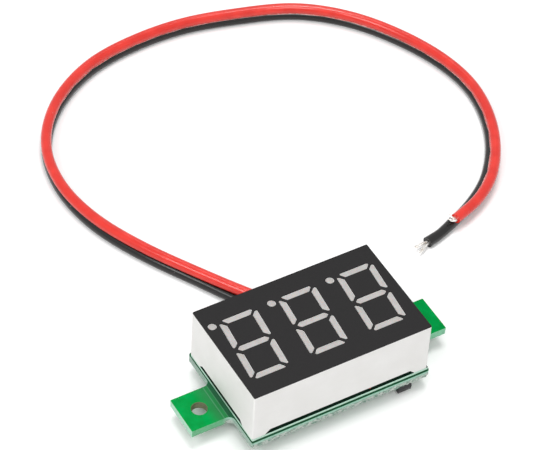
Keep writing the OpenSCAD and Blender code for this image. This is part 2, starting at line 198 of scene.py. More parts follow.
def wire_curve(name, path, radius, ends):
    """A round curve through every second point of a path, and through all of its tail."""
    knots = list(range(0, len(web_route), 2)) + list(range(len(web_route), len(path)))
    curve = bpy.data.curves.new(name, "CURVE")
    curve.dimensions = "3D"
    curve.bevel_depth = radius * MM
    curve.bevel_resolution = 7
    curve.resolution_u = 10
    curve.use_fill_caps = True
    spline = curve.splines.new("BEZIER")
    spline.bezier_points.add(len(knots) - 1)
    for n, (knot, point) in enumerate(zip(knots, spline.bezier_points)):
        here, before, after = path[knot], path[max(knot - 1, 0)], path[min(knot + 1, len(path) - 1)]
        way = (after - before) / ((after - here).length + (here - before).length)
        back = (here - path[knots[max(n - 1, 0)]]).length or 1
        ahead = (path[knots[min(n + 1, len(knots) - 1)]] - here).length or 1
        point.co = here * MM
        point.handle_left = (here - way * back / 3) * MM
        point.handle_right = (here + way * ahead / 3) * MM
        point.radius = ends.get(n - len(knots), ends.get(n, 1))
    return add(name, curve)


def curve_length(wire):
    """Length of a curve's own line, in metres."""
    points = wire.data.splines[0].bezier_points
    total = 0
    for a, b in zip(points[:-1], points[1:]):
        line = interpolate_bezier(a.co, a.handle_right, b.handle_left, b.co, MEASURED_POINTS)
        total += sum((q - p).length for p, q in zip(line[:-1], line[1:]))
    return total


red_wire = wire_curve("red_wire", red_path, WIRE_D / 2, {-1: 0.97, 0: 0.96})
black_wire = wire_curve("black_wire", black_path, WIRE_D / 2, {-1: 1.04, -2: 0.94, 0: 0.96})
red_length, black_length = curve_length(red_wire), curve_length(black_wire)
print(f"red wire {red_length * 1000:.1f} mm, black wire {black_length * 1000:.1f} mm")

# %% [markdown]
# ## Finishes as arithmetic
#
# Every finish here is a network of nodes, and a network drawn by hand is slow to change.
# Wrapping a socket in a small class lets the sums be written as Python expressions, so
# that `1 - mask` or `grain * 0.3 + 0.5` adds the Math nodes that work it out. Colours go
# through Mix nodes, because a Math node would turn them grey. `Network` is the nodes that
# feed one shader, and its one `node` method adds any other node.

# %% Socket arithmetic
class Flow:
    """A socket of a network. Arithmetic on it adds the nodes that work it out."""

    def __init__(self, network, socket):
        self.network, self.socket = network, socket

    def combine(self, operation, first, second):
        sockets = [s.socket.type for s in (first, second) if isinstance(s, Flow)]
        kind = "ShaderNodeVectorMath" if "VECTOR" in sockets else "ShaderNodeMath"
        return self.network.node(kind, {"operation": operation}, {0: first, 1: second})

    def __add__(self, other):
        return self.combine("ADD", self, other)

    def __sub__(self, other):
        return self.combine("SUBTRACT", self, other)

    def __mul__(self, other):
        return self.combine("MULTIPLY", self, other)

    def __truediv__(self, other):
        return self.combine("DIVIDE", self, other)

    def __rsub__(self, other):
        return self.combine("SUBTRACT", other, self)

    def __rtruediv__(self, other):
        return self.combine("DIVIDE", other, self)

    __radd__ = __add__
    __rmul__ = __mul__

    def fade(self, low, high):
        """0 below low and 1 above high, with a smooth step between. Low may be above high."""
        return self.network.node("ShaderNodeMapRange", {"interpolation_type": "SMOOTHSTEP"},
                                 {"Value": self, "From Min": low, "From Max": high})


class Network:
    """The nodes of a material or a world, which feed its one shader."""

    def __init__(self, owner, shader):
        owner.use_nodes = True
        self.nodes, self.links = owner.node_tree.nodes, owner.node_tree.links
        self.shader = self.nodes[shader]

    def set(self, inputs, node=None):
        """Gives sockets their values, or links them."""
        for key, value in inputs.items():
            socket = (node or self.shader).inputs[key]
            if isinstance(value, Flow):
                self.links.new(value.socket, socket)
            elif socket.type == "RGBA":
                socket.default_value = (*value, 1)
            elif socket.type == "VECTOR" and not hasattr(value, "__len__"):
                socket.default_value = (value, value, value)
            else:
                socket.default_value = value

    def node(self, kind, settings, inputs, output=0):
        """Adds a node: its settings come first, then its sockets' values and links."""
        added = self.nodes.new(kind)
        for key, value in settings.items():
            setattr(added, key, value)
        self.set(inputs, added)
        return Flow(self, added.outputs[output])

    def mix(self, factor, first, second):
        """Colour that goes from the first to the second as the factor goes from 0 to 1."""
        return self.node("ShaderNodeMix", {"data_type": "RGBA"},
                         {"Factor": factor, 6: first, 7: second}, 2)

    def function(self, operation, value):
        """A function of one number, such as SINE."""
        return self.node("ShaderNodeMath", {"operation": operation}, {0: value})


print("socket arithmetic ready")

# %% [markdown]
# ## Patterns of a finish
#
# Real surfaces are told apart by the size of their grain, so a finish needs few patterns,
# as long as each takes its size in millimetres: lumps, cells, the place along an axis and
# the way the surface faces. Almost everything here is plastic, resin or paint, which bend
# light alike, so a finish starts with that index of refraction.

# %% Finishes and their patterns
PLASTIC_IOR = 1.5


class Finish(Network):
    """One material, and the patterns that it can draw on."""

    def __init__(self, name, constants=None):
        self.material = bpy.data.materials.new(name)
        super().__init__(self.material, "Principled BSDF")
        self.place = self.node("ShaderNodeTexCoord", {}, {}, "Object")
        self.set({"IOR": PLASTIC_IOR, **(constants or {})})

    def grain(self, size, detail=2, stretch=(1, 1, 1), lumpiness=0.5):
        """Noise from 0 to 1 with lumps of a size in millimetres, stretched along the axes."""
        place = self.node("ShaderNodeVectorMath", {"operation": "DIVIDE"},
                          {0: self.place, 1: [size * MM * s for s in stretch]})
        return self.node("ShaderNodeTexNoise", {},
                         {"Vector": place, "Scale": 1, "Detail": detail,
                          "Roughness": lumpiness})

    def cells(self, size):
        """Distance from 0 at the middle of each cell, for cells of a size in millimetres."""
        return self.node("ShaderNodeTexVoronoi", {},
                         {"Vector": self.place, "Scale": 1 / (size * MM)})

    def axis(self, letter, source=None):
        """One coordinate of the place in millimetres, or of another vector as it is."""
        parts = self.node("ShaderNodeSeparateXYZ", {}, {0: source or self.place}, letter)
        return parts if source else parts / MM

    def facing(self, letter):
        """How far the surface faces along an axis, from -1 to 1."""
        normal = self.node("ShaderNodeTexCoord", {}, {}, "Normal")
        return self.axis(letter, normal)

    def bump(self, height):
        """Raises the surface by a height in millimetres."""
        self.set({"Normal": self.node("ShaderNodeBump", {},
                                      {"Height": height, "Distance": MM, "Strength": 1})})


print("finishes start with an index of refraction of", PLASTIC_IOR)

# %% [markdown]
# ## Plastics
#
# The housing is moulded from white plastic with a satin mould surface: a fine grain, the
# faintest cloudiness, and hairline drag marks up its walls from where it left the mould.
# Its face is a printed black film, which has a finer grain of its own. The segments are
# resin cast over the light-emitting chips with a diffusing powder in it, so they are a
# cloudy grey. Many surfaces need no more than two colours, a roughness and a bump that all
# follow one grain, so a small function makes those.

# %% Housing, mask and segments
finishes = {}


def finish(slot, constants=None):
    finishes[slot] = Finish(slot, constants)
    return finishes[slot]


def grained(made, first, second, grain, rough, height, contrast=(0.3, 0.7)):
    """Gives a finish two colours, a roughness and a bump that all follow one grain.

    The roughness is its first number where the grain is 0, and more by the second where the
    grain is 1. The colours blend over the contrast, or evenly where that is None."""
    lumps = made.grain(*grain)
    blend = lumps.fade(*contrast) if contrast else lumps
    made.set({"Base Color": made.mix(blend, first, second),
              "Roughness": lumps * rough[1] + rough[0]})
    made.bump(lumps * height)


white = finish("housing_white", {"Specular IOR Level": 0.3})
clouds = white.grain(3.5, 3)
drag = white.grain(0.12, 2, (1, 1, 25))
pores = white.grain(0.05, 3)
base = white.mix(clouds.fade(0.3, 0.75), (0.805, 0.795, 0.775), (0.845, 0.835, 0.82))
dust = white.grain(0.3, 4, lumpiness=0.7).fade(0.66, 0.78) * 0.25
white.set({"Base Color": white.mix(dust, base, (0.62, 0.60, 0.56)),
           "Roughness": pores * 0.16 + 0.36 + drag * 0.08})
white.bump(pores * 0.004 + drag * 0.002)

black = finish("mask_black", {"Specular IOR Level": 0.16})
film = black.grain(0.07, 3)
sheen = black.grain(5, 2)
black.set({"Base Color": black.mix(film.fade(0.3, 0.7), (0.0085, 0.0080, 0.0085),
                                   (0.0138, 0.0130, 0.0134)),
           "Roughness": film * 0.14 + 0.36 + sheen * 0.08})
black.bump(film * 0.003)

grey = finish("segment_grey", {"Specular IOR Level": 0.4,
                               "Subsurface Weight": 0.15, "Subsurface Scale": 0.0003})
powder = grey.grain(0.11, 3, lumpiness=0.65)
flow = grey.grain(0.9, 2)
resin = grey.mix(powder.fade(0.32, 0.68), (0.38, 0.36, 0.35), (0.47, 0.45, 0.44))
grey.set({"Base Color": grey.mix(flow.fade(0.35, 0.7) * 0.35, resin, (0.53, 0.51, 0.50)),
          "Roughness": powder * 0.2 + 0.3})
grey.bump(powder * 0.004 + flow * 0.01)
print("plastics:", list(finishes))

# %% [markdown]
# ## Circuit board
#
# The board is glass fibre in resin, with copper on both sides under a glossy green mask.
# The mask is a thin paint: it looks lighter over copper and darker over bare laminate, and
# it lies in soft waves over the weave of the glass. Its top beside the housing is painted
# darker still, as shade, and near the ear roots it is painted duller, as a reflection of
# the white housing wall and shade. Where the board was snapped and filed from its panel,
# its edge is pale, with torn fibres and small pits painted dark as shade. Mask, edge,
# drilled hole and the display's own thin board look quite different, so each has its own
# finish.

# %% Solder mask
EAR_START = 11.83
BAND_END = 12.4
REFLECTION_END = 14.25
WEAVE = 9.0
green = finish("board_green", {"IOR": 1.52, "Specular IOR Level": 0.02})
across = green.function("ABSOLUTE", green.axis("X") - BOARD_SHIFT)
underneath = (0 - green.facing("Z")).fade(0.2, 0.8)
weave = (green.function("SINE", green.axis("X") * WEAVE)
         * green.function("SINE", green.axis("Y") * WEAVE))
ripple = green.grain(1.3, 2)
rub = green.grain(0.25, 4, lumpiness=0.7).fade(0.62, 0.8)
coppered = green.mix(ripple.fade(0.3, 0.7), (0.0, 0.255, 0.045), (0.0, 0.305, 0.062))
# Bare laminate is darker under the mask, and this colour is darker still as painted shade beside
# and under the housing
bare_and_shaded = green.mix(ripple.fade(0.3, 0.7), (0.0, 0.040, 0.018), (0.0, 0.085, 0.038))
# The band of thick tinned copper at each ear's root has a bright rim. The mask is painted
# duller up to the end of the band, fading back along the ear, as painted reflection of the
# white housing wall and painted shade beside it.
band = across.fade(EAR_START - 0.04, EAR_START + 0.04) * across.fade(BAND_END + 0.05, BAND_END)
rim = band * (across.fade(BAND_END - 0.16, BAND_END - 0.04)
              + across.fade(EAR_START + 0.13, EAR_START + 0.05)).fade(0, 1)
wall_reflection_shade = across.fade(REFLECTION_END, BAND_END) * 0.55
top_paint = green.mix(across.fade(EAR_START - 0.05, EAR_START + 0.05), bare_and_shaded, coppered)
# Painted reflection of the white housing wall and painted shade, near the ear roots
top_paint = green.mix(wall_reflection_shade, top_paint, (0.045, 0.165, 0.075))
top_paint = green.mix(rim * 0.4, top_paint, (0.14, 0.34, 0.21))
below_paint = green.mix(ripple.fade(0.35, 0.65), (0.0, 0.20, 0.060), (0.0, 0.26, 0.080))
paint = green.mix(underneath, top_paint, below_paint)
green.set({"Base Color": green.mix(rub * 0.22, paint, (0.02, 0.34, 0.14)),
           "Roughness": rub * 0.15 + 0.13 + ripple * 0.05})
green.bump(weave * 0.0012 + ripple * 0.006 + band * 0.03)

masked_copper = Finish("masked_copper", {"IOR": 1.52, "Specular IOR Level": 0.25})
grained(masked_copper, (0.004, 0.33, 0.11), (0.012, 0.42, 0.16), (0.8, 3), (0.18, 0.2), 0.01)

# %% [markdown]
# ### Edges of the board
#
# Snapping leaves an edge in two layers. Near the top it follows the score, so it is clean
# and mint green, and lower down it is torn: pale fibre ends, pits between them that are
# painted dark as shade, and grey dust. The ears were milled instead, so there the resin
# still shows its colour. Their ends are painted paler than their sides, and the ear at -X
# is painted lighter than the one at +X, both as painted light.

# %% Cut laminate
torn = Finish("cut_laminate", {"Specular IOR Level": 0.25})
height = torn.axis("Z")
fibres = torn.grain(0.15, 4, (1.6, 1.6, 0.55), 0.75)
lumps = torn.grain(0.42, 3, (1.5, 1.5, 0.6), 0.6)
pits_and_pit_shade = (1 - torn.cells(0.30).fade(0.08, 0.34)) * lumps.fade(0.36, 0.54)
clean = torn.mix(fibres.fade(0.3, 0.7), (0.25, 0.50, 0.38), (0.46, 0.68, 0.56))
mint = torn.mix(lumps.fade(0.38, 0.58), (0.20, 0.33, 0.26), (0.58, 0.63, 0.58))
# The pits are painted nearly black, as shade in the hollows
ragged = torn.mix(pits_and_pit_shade * 0.95, mint, (0.02, 0.045, 0.03))
ragged = torn.mix(fibres.fade(0.56, 0.70) * 0.7, ragged, (0.86, 0.90, 0.86))
layered = torn.mix((height + lumps * 0.55).fade(2.66, 2.82), ragged, clean)
side_x = torn.facing("X")
end_cut = (side_x * side_x).fade(0.3, 0.8)
on_ear = torn.function("ABSOLUTE", torn.axis("X") - BOARD_SHIFT).fade(12.0, 12.6)
# The ear at -X is painted lighter than the one at +X, as painted light
milled = torn.mix(torn.axis("X").fade(0, 1), (0.17, 0.54, 0.31), (0.055, 0.36, 0.14))
milled = torn.mix(fibres.fade(0.25, 0.75), milled, torn.mix(0.35, milled, (0.6, 0.9, 0.7)))
# The ends of the ears are painted paler than their sides, as painted light
milled = torn.mix(end_cut * 0.8, milled, (0.50, 0.78, 0.62))
filed = torn.mix(fibres.fade(0.3, 0.7), (0.24, 0.33, 0.28), (0.40, 0.54, 0.46))
unsnapped = torn.mix(end_cut * (1 - torn.axis("Y").fade(-6, -3) * 0.5), layered, filed)
torn.set({"Base Color": torn.mix(on_ear, unsnapped, milled),
          "Roughness": fibres * 0.3 + 0.5})
torn.bump(fibres * 0.05 + lumps * 0.05 - pits_and_pit_shade * 0.08)

amber = Finish("drilled_laminate")
grained(amber, (0.085, 0.105, 0.045), (0.20, 0.22, 0.12), (0.3, 3, (4, 4, 0.3)), (0.45, 0.3),
        0.02)

thin_green = finish("display_board_green", {"Specular IOR Level": 0.2})
edge = 1 - (thin_green.facing("Z") * thin_green.facing("Z")).fade(0.2, 0.6)
speck = thin_green.grain(0.12, 3)
pale = thin_green.mix(speck.fade(0.3, 0.7), (0.42, 0.68, 0.54), (0.60, 0.84, 0.70))
# The top and bottom of the display's board are painted nearly black, as the shade inside the vent;
# its edge keeps the pale colour of the laminate
thin_green.set({"Base Color": thin_green.mix(edge, (0.001, 0.020, 0.009), pale),
                "Roughness": speck * 0.2 + 0.35})
thin_green.bump(speck * 0.01)
print("board finishes ready")

# %% [markdown]
# ## Electronic parts
#
# Chip packages are black epoxy full of glass powder, matt with a salt-and-pepper grain.
# A chip resistor is a white ceramic brick with black glaze on its top only, and a chip
# capacitor is tan all through. Their ends, and all the leads, are plated with tin, which
# is a dull silver that picks up fine scratches. Solder is brighter and smoother, with
# shallow ripples where it froze.

# %% Finishes of the electronic parts
grained(finish("chip_black", {"Specular IOR Level": 0.4}), (0.012, 0.012, 0.013),
        (0.050, 0.050, 0.052), (0.06, 4, (1, 1, 1), 0.7), (0.42, 0.25), 0.008, (0.45, 0.75))
grained(finish("capacitor_tan"), (0.33, 0.20, 0.10), (0.45, 0.30, 0.17), (0.1, 4), (0.35, 0.2),
        0.006)
grained(finish("trimmer_ceramic", {"Coat Weight": 0.2, "Coat Roughness": 0.2}),
        (0.70, 0.68, 0.61), (0.83, 0.81, 0.76), (0.2, 4), (0.3, 0.2), 0.008, None)
grained(finish("led_red", {"Coat Weight": 0.6, "Coat Roughness": 0.1}),
        (0.45, 0.03, 0.025), (0.75, 0.10, 0.08), (0.1, 2), (0.2, 0.2), 0.01, None)

glaze = finish("resistor_black")
top = (0 - glaze.facing("Z")).fade(0.5, 0.8)
chalk = glaze.grain(0.09, 3)
ceramic = glaze.mix(chalk, (0.62, 0.60, 0.56), (0.78, 0.76, 0.72))
glaze.set({"Base Color": glaze.mix(top, ceramic, (0.014, 0.014, 0.016)),
           "Roughness": chalk * 0.2 + 0.5 - top * 0.25})
glaze.bump(chalk * 0.006)

print("electronic finishes ready")

# %% [markdown]
# ## Metals
#
# The five metal finishes differ only in colour, in how rough they are and in the size of
# their ripples, so one function makes them all. A fine streaky noise stands for the
# scratches of handling, and a wider one for the dull patches where the tin has oxidised.

# %% Metal finishes
# Bright and dull colour, roughness, and size of the dull patches in millimetres
METALS = {
    "tinned_pin": ((0.70, 0.70, 0.68), (0.46, 0.45, 0.42), 0.30, 0.5),
    "tinned_lead": ((0.72, 0.72, 0.71), (0.50, 0.49, 0.47), 0.26, 0.4),
    "solder": ((0.76, 0.77, 0.78), (0.55, 0.55, 0.55), 0.17, 0.35),
    "trimmer_metal": ((0.66, 0.60, 0.46), (0.46, 0.40, 0.29), 0.28, 0.6),
    "tinned_copper": ((0.78, 0.77, 0.75), (0.56, 0.50, 0.43), 0.24, 0.3),
}
for slot, (bright, dull, roughness, patch) in METALS.items():
    metal = finish(slot, {"Metallic": 1})
    scratches = metal.grain(0.05, 3, (1, 4, 1))
    patches = metal.grain(patch, 3)
    metal.set({"Base Color": metal.mix(patches.fade(0.4, 0.75), bright, dull),
               "Roughness": scratches * 0.14 + roughness + patches.fade(0.45, 0.75) * 0.15})
    metal.bump(scratches * 0.003 + patches * 0.012)
print("metals:", list(METALS))

# %% [markdown]
# ## Wire insulation and printing
#
# The insulation is soft PVC with a waxy shine. It has a fine skin and slow waves in its
# gloss, and it has picked up a little dust. The web between the wires carries a pale pink
# painted highlight. The white printing on the board is a thick matt ink.

# %% Insulation and ink
# The deeper and the lighter colour of each insulation
PVC = {"red_pvc": ((0.66, 0.022, 0.013), (0.76, 0.034, 0.021)),
       "black_pvc": ((0.0020, 0.0019, 0.0019), (0.0050, 0.0047, 0.0047))}
for slot, (deep, light) in PVC.items():
    pvc = finish(slot, {"Specular IOR Level": 0.45})
    waves = pvc.grain(2.2, 2)
    skin = pvc.grain(0.09, 3)
    lint = pvc.cells(0.9).fade(0.10, 0.04) * pvc.grain(2.5, 1).fade(0.5, 0.6)
    colour = pvc.mix(waves.fade(0.3, 0.7), deep, light)
    pvc.set({"Base Color": pvc.mix(lint * 0.35, colour, (0.62, 0.56, 0.54)),
             "Roughness": skin * 0.08 + 0.09 + waves * 0.05})
    pvc.bump(skin * 0.004 + waves * 0.02)

# Pale pink of the web strip: a painted highlight along the groove between the wires
web_highlight_finish = Finish("web_painted_highlight")
grained(web_highlight_finish, (0.84, 0.30, 0.26), (0.92, 0.62, 0.58), (0.4, 3), (0.45, 0.2), 0.02,
        (0.35, 0.65))
ink = Finish("white_ink")
grained(ink, (0.70, 0.71, 0.69), (0.84, 0.85, 0.83), (0.08, 4), (0.55, 0.2), 0.004)
print("slots with a finish:", sorted(finishes))

# %% [markdown]
# ## Making pieces
#
# Every modelled piece goes through the same last steps: the mesh gets its finish, smooth
# shading with sharp edges kept and a CAD body to ride on. A piece that stands for a CAD part
# also hides the part that it replaces.

# %% Pieces from mesh code
TUBE_SIDES = 8


def dress(obj, finish_list, replaces=()):
    """Gives a new object its finishes and its body, and hides what it replaces."""
    for one in finish_list:
        obj.data.materials.append(one.material)
    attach(obj, "meter")
    if replaces:
        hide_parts(*replaces)
    return obj


def piece(name, bm, slot, finish_list=None, sharp=40, replaces=()):
    """Turns a bmesh into a piece of the model."""
    bmesh.ops.recalc_face_normals(bm, faces=bm.faces)
    mesh = bpy.data.meshes.new(name)
    bm.to_mesh(mesh)
    bm.free()
    mesh.shade_smooth()
    mesh.set_sharp_from_angle(angle=math.radians(sharp))
    print(f"{name}: {len(mesh.polygons)} faces")
    return dress(add(name, mesh), finish_list or [finishes[slot]], replaces)


def rings_to_skin(bm, rings, closed=False, caps=True):
    """Joins rings of points, each with the same count, into one skin."""
    made = [[bm.verts.new(p) for p in ring] for ring in rings]
    count = len(made[0])
    pairs = list(zip(made[:-1], made[1:])) + ([(made[-1], made[0])] if closed else [])
    for low, high in pairs:
        for k in range(count):
            bm.faces.new((low[k], low[(k + 1) % count], high[(k + 1) % count], high[k]))
    if caps and not closed:
        bm.faces.new(made[0][::-1])
        bm.faces.new(made[-1])
    return made


def tube(bm, path, radii):
    """A round tube along a path, in metres, with a radius for each point."""
    turns = [2 * math.pi * k / TUBE_SIDES for k in range(TUBE_SIDES)]
    frame_up = Vector((0, 0, 1))
    rings = []
    for i, point in enumerate(path):
        way = (path[min(i + 1, len(path) - 1)] - path[max(i - 1, 0)]).normalized()
        side = way.cross(frame_up)
        side = side.normalized() if side.length > 1e-6 else Vector((1, 0, 0))
        frame_up = side.cross(way)
        rings.append([point + (side * math.cos(a) + frame_up * math.sin(a)) * radii[i]
                      for a in turns])
    rings_to_skin(bm, rings)


def lathe(bm, middle, profile, steps=28, uneven=0.05, seed=0):
    """Turns a closed half section of (radius, height) about a vertical line, unevenly."""
    columns = []
    for k in range(steps):
        a = 2 * math.pi * k / steps
        wave = 1 + uneven * noise.noise(Vector((math.cos(a), math.sin(a), seed * 3.1)))
        columns.append([middle + mm(r * wave * math.cos(a), r * wave * math.sin(a), z)
                        for r, z in profile])
    rings_to_skin(bm, columns, closed=True)


print("piece tools ready")

# %% [markdown]
# ## Soft edges on the CAD parts
#
# The CAD solids have mathematically sharp edges, and a real moulding never has: light
# catches on an edge a few hundredths of a millimetre wide. A Bevel modifier adds that
# without touching the CAD mesh. The imported mesh is split along its edges, so a Weld
# comes first, and a Weighted Normal comes last to keep the flat faces flat.

# %% Finishes and edges of the CAD parts
SAME_PLACE = 0.002
EDGE_ANGLE = 28
FLAT_FACES_COUNT = 80
SEGMENT_EDGE = 0.03
smoothing = bpy.data.node_groups.new("shade_smooth", "GeometryNodeTree")
smoothing.interface.new_socket("Geometry", in_out="INPUT", socket_type="NodeSocketGeometry")
smoothing.interface.new_socket("Geometry", in_out="OUTPUT", socket_type="NodeSocketGeometry")
entry, shade, leave = (smoothing.nodes.new(kind) for kind in (
    "NodeGroupInput", "GeometryNodeSetShadeSmooth", "NodeGroupOutput"))
smoothing.links.new(entry.outputs[0], shade.inputs[0])
smoothing.links.new(shade.outputs[0], leave.inputs[0])


def soften(name, slot, width):
    """Gives a CAD part its finish and an edge of a width in millimetres."""
    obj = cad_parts[name]
    obj.material_slots[0].material = finishes[slot].material
    weld = obj.modifiers.new("weld", "WELD")
    weld.merge_threshold = SAME_PLACE * MM
    bevel = obj.modifiers.new("bevel", "BEVEL")
    bevel.width = width * MM
    bevel.segments = 2
    bevel.limit_method = "ANGLE"
    bevel.angle_limit = math.radians(EDGE_ANGLE)
    bevel.miter_outer = "MITER_ARC"
    smoother = obj.modifiers.new("smooth", "NODES")
    smoother.node_group = smoothing
    obj.modifiers.new("flatten", "WEIGHTED_NORMAL").weight = FLAT_FACES_COUNT


EDGES = {
    "display_housing": ("housing_white", 0.07),
    "display_board": ("display_board_green", 0.03), "led_dies": ("led_red", 0.03),
    "display_pins": ("tinned_pin", 0.05), "trimmer_base": ("trimmer_ceramic", 0.05),
    "trimmer_terminals": ("tinned_lead", 0.04), "trimmer_rotor": ("trimmer_metal", 0.03),
    "microcontroller_leads": ("tinned_lead", 0.02), "regulator_leads": ("tinned_lead", 0.04),
    "diode_leads": ("tinned_lead", 0.03), "chip_resistors": ("resistor_black", 0.02),
    "resistor_ends": ("tinned_lead", 0.04), "chip_capacitors": ("capacitor_tan", 0.03),
    "capacitor_ends": ("tinned_lead", 0.05)}
for digit in (1, 2, 3):
    for part in [f"decimal_point_{digit}"] + [f"segment_{digit}{c}" for c in "abcdefg"]:
        EDGES[part] = "segment_grey", SEGMENT_EDGE
for name, (slot, width) in EDGES.items():
    soften(name, slot, width)
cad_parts["face_mask"].material_slots[0].material = black.material
print("softened:", len(EDGES), "CAD parts")

# %% [markdown]
# ## Outlines and slabs
#
# The board, the chip packages, the traces and the printing are all flat things with an
# outline, so they share a few helpers. An outline is a list of plan points, its corners
# are rounded by arcs, and a slab is a stack of copies of it, each at its own height and
# drawn inwards by its own depth. That one idea gives a bevel, a moulding draft or a
# meniscus of solder.

# %% Outline helpers
def rounded(corners, steps=4):
    """Outline through (x, y, radius) corners, as plan points."""
    outline = []
    for i, (x, y, r) in enumerate(corners):
        corner = Vector((x, y))
        a = (plan(corners[i - 1]) - corner).normalized()
        b = (plan(corners[(i + 1) % len(corners)]) - corner).normalized()
        half = math.acos(max(-1, min(1, a.dot(b)))) / 2
        centre = corner + (a + b).normalized() * r / math.sin(half)
        first = corner + a * r / math.tan(half) - centre
        turn = (-1 if a.x * b.y - a.y * b.x > 0 else 1) * (math.pi - 2 * half)
        outline += [centre + Matrix.Rotation(turn * n / steps, 2) @ first
                    for n in range(steps + 1)]
    return outline


def rectangle(x0, y0, x1, y1, r):
    """Rounded rectangle from its lowest to its highest corner."""
    return rounded([(x1, y0, r), (x1, y1, r), (x0, y1, r), (x0, y0, r)], 3)


def circle(x, y, r, steps):
    return [Vector((x + r * math.cos(2 * math.pi * k / steps),
                    y + r * math.sin(2 * math.pi * k / steps))) for k in range(steps)]


def subdivided(outline, step):
    """The same closed outline, with points no further apart than a step."""
    result = []
    for a, b in zip(outline, outline[1:] + outline[:1]):
        count = max(1, math.ceil((b - a).length / step))
        result += [a.lerp(b, n / count) for n in range(count)]
    return result


def inset(outline, depth):
    """The outline drawn inwards, or outwards where the depth is negative."""
    result = []
    for i, p in enumerate(outline):
        way = (outline[(i + 1) % len(outline)] - outline[i - 1]).normalized()
        result.append(p + Vector((-way.y, way.x)) * depth)
    return result


def stack(bm, rings, closed=False, caps=False):
    """Skins plan outlines, each with its own height, in millimetres."""
    return rings_to_skin(bm, [[mm(p.x, p.y, z) for p in ring] for ring, z in rings], closed, caps)


def slab(bm, outline, levels, caps=True):
    """Stacks copies of an outline at (height, inset) levels, in millimetres."""
    return stack(bm, [(inset(outline, depth), z) for z, depth in levels], caps=caps)


def fill_flat(bm, loops):
    """Fills the flat area inside the first loop of vertices and outside the others."""
    edges = [bm.edges.get((a, b)) for loop in loops for a, b in zip(loop, loop[1:] + loop[:1])]
    bmesh.ops.triangle_fill(bm, use_beauty=True, use_dissolve=False, edges=edges)


print("outline tools ready")

# %% [markdown]
# ## The board, with its snapped edges
#
# The board's outline is a rectangle with two ears and rounded roots. A panel of boards is
# scored along its long sides and snapped, which leaves a clean strip near the top and a
# torn one below it, while the ears are milled and only faintly ribbed. A displaced solid
# would tear the flat faces too, so the wall is built from rings at several heights, each
# drawn inwards by its own noise, and the flat faces are filled between outline and holes.

# %% Circuit board
BOARD_X = 22.9 / 2
BOARD_LOW, BOARD_HIGH = board_low.z, board_high.z
EAR_X, EAR_HALF = (board_high.x - board_low.x) / 2, 5.1 / 2
EAR_HOLE_X, EAR_HOLE_R = 28.3 / 2, 0.9
EAR_MIDDLE = 0.11
HOLE_RIM = 0.04
PIN_PITCH, PIN_ROW_Y, PIN_HOLE_R = 2.54, 5.08, 0.4
PIN_PLACES = [((i - 2.5) * PIN_PITCH, side * PIN_ROW_Y) for side in (-1, 1) for i in range(6)]
corners = []
for s, first, last in ((1, board_low.y, board_high.y), (-1, board_high.y, board_low.y)):
    near, far = EAR_MIDDLE - s * EAR_HALF, EAR_MIDDLE + s * EAR_HALF
    corners += [(s * BOARD_X, first, 0.4), (s * BOARD_X, near, 0.7), (s * EAR_X, near, 0.12),
                (s * EAR_X, far, 0.12), (s * BOARD_X, far, 0.7), (s * BOARD_X, last, 0.15)]
outline = [p + Vector((BOARD_SHIFT, 0)) for p in subdivided(rounded(corners), 0.11)]
# Height through the board from 0 to 1, with how far the wall is cut in there, in millimetres:
# a plain cut for every wall, and the depth of the tearing on the snapped sides
SNAPPED_REACH, MILLED_TEAR = 0.2, 0.2
WALL = [(0.0, 0.03, 0.20), (0.06, 0.0, 0.18), (0.18, 0.0, 0.18), (0.32, 0.005, 0.21),
        (0.46, 0.0, 0.18), (0.60, 0.005, 0.11), (0.74, 0.0, 0.03), (0.95, 0.0, 0.01),
        (1.0, 0.025, 0.0)]
board = bmesh.new()
levels = []
for part, cut, tear in WALL:
    ring = []
    for i, p in enumerate(outline):
        way = (outline[(i + 1) % len(outline)] - outline[i - 1]).normalized()
        milled = board_low.y + SNAPPED_REACH < p.y < board_high.y - SNAPPED_REACH
        rough = (0.5 + noise.noise(Vector((p.x * 3.6, p.y * 3.6, part * 3.5)))
                 + 0.5 * noise.noise(Vector((p.x, p.y, part)) * 9))
        depth = cut + tear * (MILLED_TEAR if milled else 1) * max(0.0, min(1.2, rough))
        q = p + Vector((-way.y, way.x)) * depth
        ring.append(mm(q.x, q.y, BOARD_LOW + part * (BOARD_HIGH - BOARD_LOW)))
    levels.append(ring)
walls = rings_to_skin(board, levels, caps=False)
wall_faces = len(board.faces)
holes = [(x, y, PIN_HOLE_R, 20) for x, y in PIN_PLACES] \
    + [(BOARD_SHIFT + side * EAR_HOLE_X, EAR_MIDDLE, EAR_HOLE_R, 56) for side in (-1, 1)]
hole_rings = []
for x, y, r, steps in holes:
    heights = [(BOARD_LOW, 0), (BOARD_HIGH, 0)]
    if r > PIN_HOLE_R:
        heights = [(BOARD_LOW, HOLE_RIM), (BOARD_LOW + HOLE_RIM, 0),
                   (BOARD_HIGH - HOLE_RIM, 0), (BOARD_HIGH, HOLE_RIM)]
    hole_rings.append(stack(board, [(circle(x, y, r + grow, steps), z) for z, grow in heights]))
hole_faces = len(board.faces)
for end in (0, -1):
    fill_flat(board, [walls[end]] + [rings[end] for rings in hole_rings])
board.faces.ensure_lookup_table()
for i, face in enumerate(board.faces):
    face.material_index = 1 if i < wall_faces else 2 if i < hole_faces else 0
piece("circuit_board", board, "board_green", [green, torn, amber], replaces=["main_board"])

# %% [markdown]
# ## Moulded packages
#
# A chip package is moulded in two halves, so its walls slope both ways from a parting line
# half way up, where a little flash stands out. Its top has a round dimple beside pin one.
# A plain box has neither, so each package is a slab with its own draft, as large as the
# CAD solid that it stands for.

